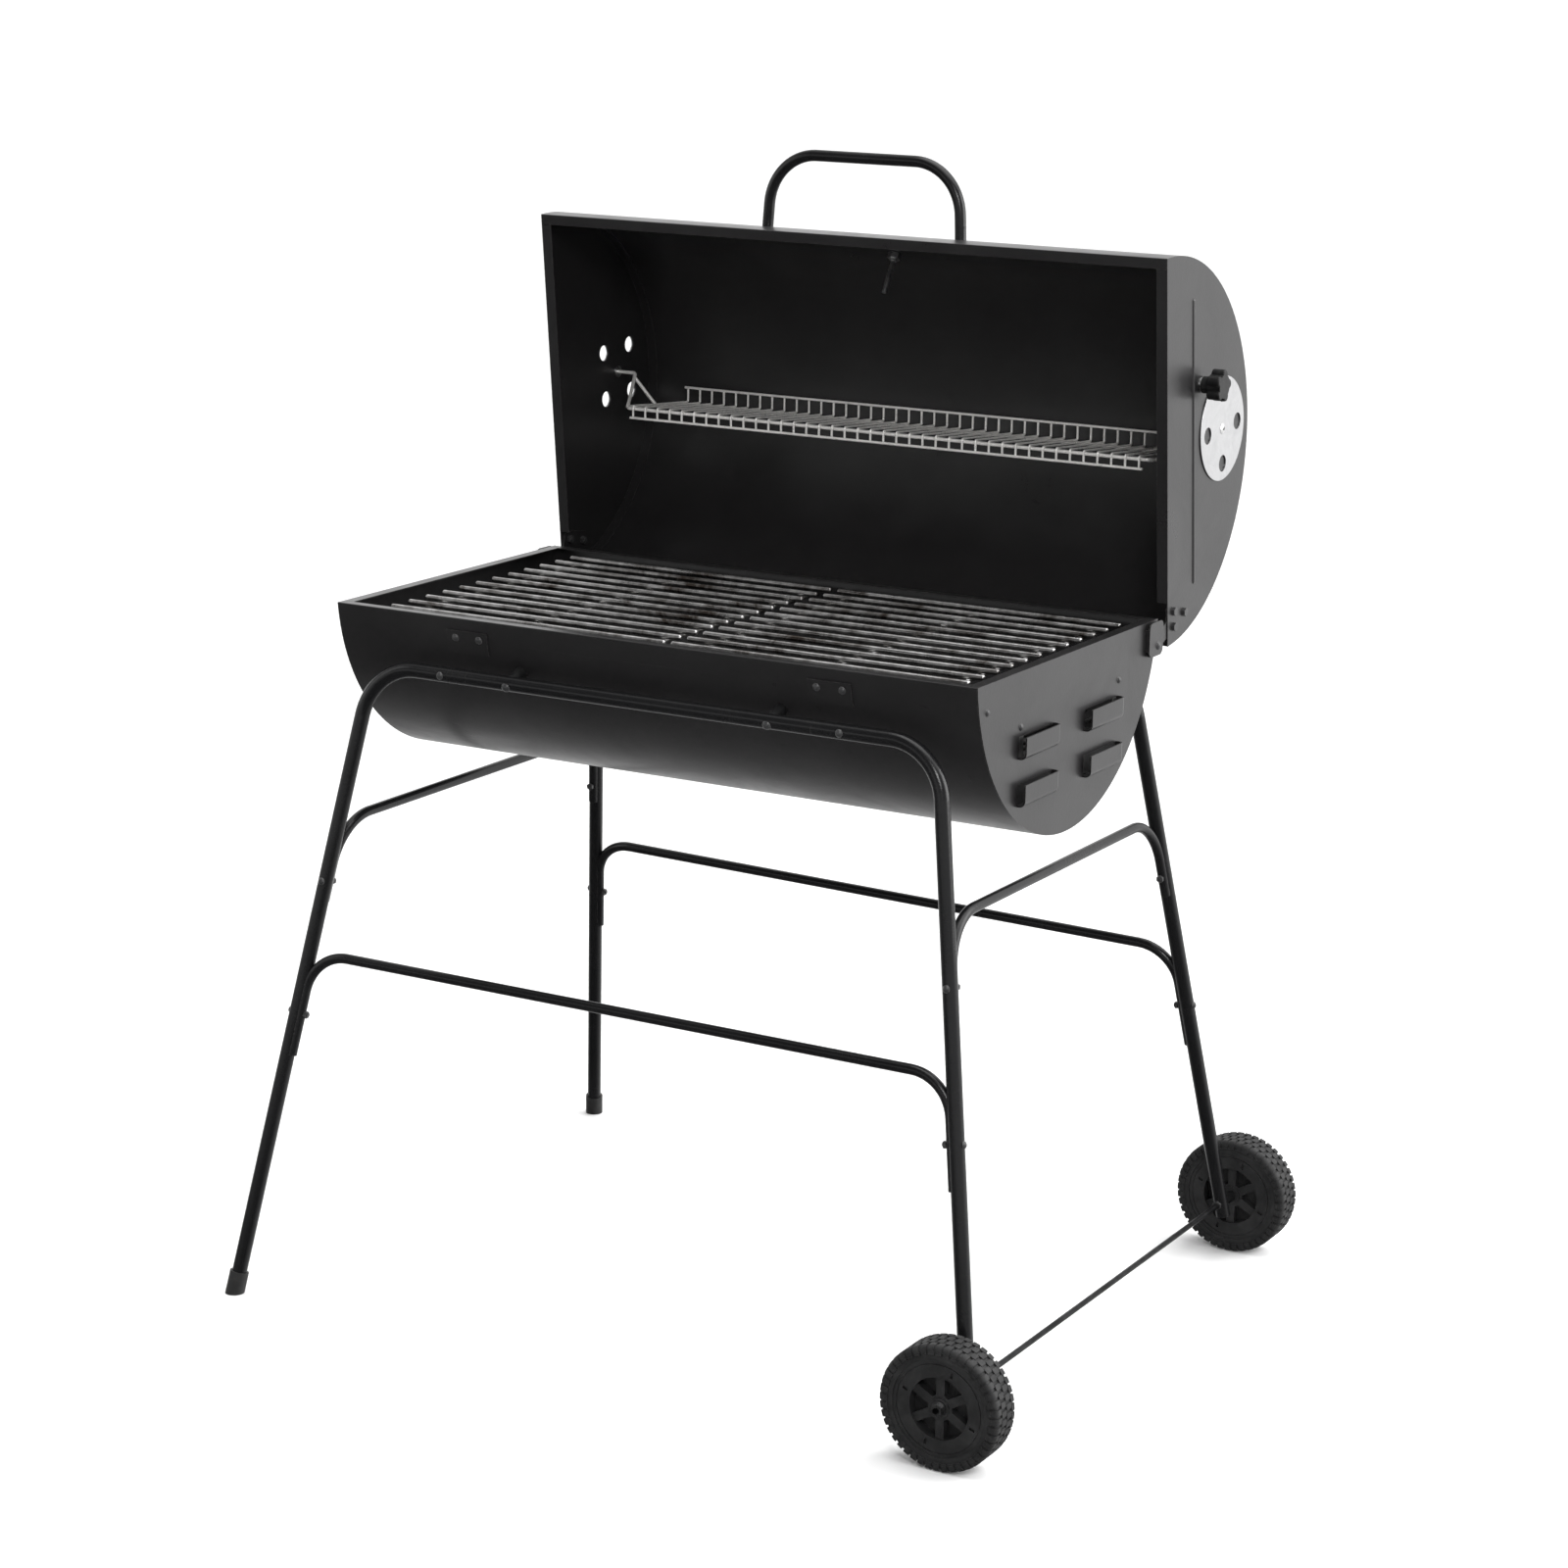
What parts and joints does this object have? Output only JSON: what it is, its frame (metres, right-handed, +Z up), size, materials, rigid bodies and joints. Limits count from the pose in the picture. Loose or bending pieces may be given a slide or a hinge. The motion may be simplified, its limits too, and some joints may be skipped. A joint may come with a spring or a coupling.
{
  "type": "barrel charcoal grill",
  "caption": "Half-barrel charcoal grill on tube legs with wheels at one end, shown with its rounded lid open, hanging warming rack, slatted grates and end vents.",
  "frame": {"origin": "on the floor, under the middle of the overall box with the lid open", "axes": "+X along the barrel towards the wheels, -Y towards the cook's side, +Z up"},
  "size_m": [0.9379, 0.78, 1.1937],
  "materials": {
    "barrel_paint": "satin black heat-resistant paint on sheet steel",
    "tube_paint": "semi-gloss black powder coat on steel tube",
    "black_screws": "black zinc plated screws",
    "zinc_steel": "bright zinc plate",
    "grate_enamel": "dark enamelled rod",
    "cooking_steel": "dull plated bars with cooked-on darkening",
    "rack_chrome": "bright plated wire",
    "vent_metal": "pale satin metal",
    "black_plastic": "moulded black phenolic",
    "foot_rubber": "moulded black caps",
    "axle_hardware": "tarnished zinc plate",
    "axle_steel": "dark plain steel rod",
    "wheel_plastic": "moulded black plastic",
    "tyre": "matt black tread",
    "thermometer_steel": "spun stainless case",
    "dial_white": "white printed dial",
    "dial_glass": "clear lens",
    "needle_red": "red enamelled needle"
  },
  "bodies": {
    "stand": {"bowl_shell": "barrel_paint", "bowl_end_left": "barrel_paint", "bowl_end_right": "barrel_paint", "end_panel_screws": "black_screws", "charcoal_grate_hangers": "zinc_steel", "grate_ledges": "barrel_paint", "ledge_pads": "barrel_paint", "ledge_screws": "black_screws", "front_leg_left": "tube_paint", "front_leg_right": "tube_paint", "rear_leg_left": "tube_paint", "rear_leg_right": "tube_paint", "front_top_tube": "tube_paint", "rear_top_tube": "tube_paint", "front_brace": "tube_paint", "rear_brace": "tube_paint", "left_brace": "tube_paint", "right_brace": "tube_paint", "brace_bolts": "black_screws", "leg_joint_screws": "black_screws", "bowl_bolts": "black_screws", "bowl_spacers": "black_plastic", "foot_caps": "foot_rubber", "axle": "axle_steel", "axle_spacers": "black_plastic", "axle_nuts": "axle_hardware", "hinge_bracket_left": "barrel_paint", "hinge_bracket_right": "barrel_paint", "hinge_pins": "black_screws"},
    "lid": {"lid_shell": "barrel_paint", "lid_end_left": "barrel_paint", "lid_end_right": "barrel_paint", "hinge_arm_left": "barrel_paint", "hinge_arm_right": "barrel_paint", "hinge_arm_bolts": "black_screws", "vent_bushes": "zinc_steel", "star_knob_stud": "zinc_steel", "lid_handle": "tube_paint", "handle_screws": "zinc_steel", "thermometer_case": "thermometer_steel", "thermometer_face": "dial_white", "thermometer_lens": "dial_glass", "thermometer_stem": "zinc_steel", "thermometer_nut": "zinc_steel"},
    "warming_rack": {"warming_rack_frame": "rack_chrome", "warming_rack_wires": "rack_chrome", "warming_rack_rails": "rack_chrome", "warming_rack_hangers": "rack_chrome"},
    "vent_disc_left": {"vent_disc_left": "vent_metal"},
    "vent_disc_right": {"vent_disc_right": "vent_metal"},
    "star_knob": {"star_knob": "black_plastic"},
    "thermometer_needle": {"thermometer_needle": "needle_red"},
    "cooking_grate_left": {"cooking_grate_left": "cooking_steel"},
    "cooking_grate_right": {"cooking_grate_right": "cooking_steel"},
    "charcoal_grate": {"charcoal_grate": "grate_enamel"},
    "wheel_front": {"wheel_rim_front": "wheel_plastic", "wheel_tyre_front": "tyre"},
    "wheel_rear": {"wheel_rim_rear": "wheel_plastic", "wheel_tyre_rear": "tyre"}
  },
  "joints": [
    {"name": "lid_hinge", "type": "hinge", "parent": "stand", "child": "lid", "pos_m": [-0.03463, 0.17553, 0.7085], "axis": [1, 0, 0], "range_deg": [0, 84.5]},
    {"name": "warming_rack_swing", "type": "hinge", "parent": "lid", "child": "warming_rack", "pos_m": [-0.03463, 0.32034, 0.91885], "axis": [1, 0, 0], "range_deg": [-84.5, 0]},
    {"name": "vent_disc_left_turn", "type": "hinge", "parent": "lid", "child": "vent_disc_left", "pos_m": [-0.03463, 0.32034, 0.91885], "axis": [1, 0, 0], "range_deg": [0, 45]},
    {"name": "vent_disc_right_turn", "type": "hinge", "parent": "lid", "child": "vent_disc_right", "pos_m": [-0.03463, 0.32034, 0.91885], "axis": [1, 0, 0], "range_deg": [0, 45]},
    {"name": "star_knob_turn", "type": "hinge", "parent": "lid", "child": "star_knob", "pos_m": [0.34767, 0.26556, 0.97134], "axis": [1, 0, 0], "continuous": true},
    {"name": "thermometer_needle_turn", "type": "hinge", "parent": "lid", "child": "thermometer_needle", "pos_m": [-0.03463, 0.28901, 1.08245], "axis": [0, -0.5075, -0.8616], "range_deg": [0, 270]},
    {"name": "cooking_grate_left_lift", "type": "slide", "parent": "stand", "child": "cooking_grate_left", "axis": [0, 0, 1], "range_m": [0, 0.05]},
    {"name": "cooking_grate_right_lift", "type": "slide", "parent": "stand", "child": "cooking_grate_right", "axis": [0, 0, 1], "range_m": [0, 0.05]},
    {"name": "charcoal_grate_lift", "type": "slide", "parent": "stand", "child": "charcoal_grate", "axis": [0, 0, 1], "range_m": [0, 0.03]},
    {"name": "wheel_front_spin", "type": "hinge", "parent": "stand", "child": "wheel_front", "pos_m": [0.40404, -0.36597, 0.065], "axis": [0, 1, 0], "continuous": true},
    {"name": "wheel_rear_spin", "type": "hinge", "parent": "stand", "child": "wheel_rear", "pos_m": [0.40404, 0.32603, 0.065], "axis": [0, 1, 0], "continuous": true}
  ],
  "couplings": [
    {"joint": "warming_rack_swing", "follows": "lid_hinge", "ratio": -1}
  ]
}
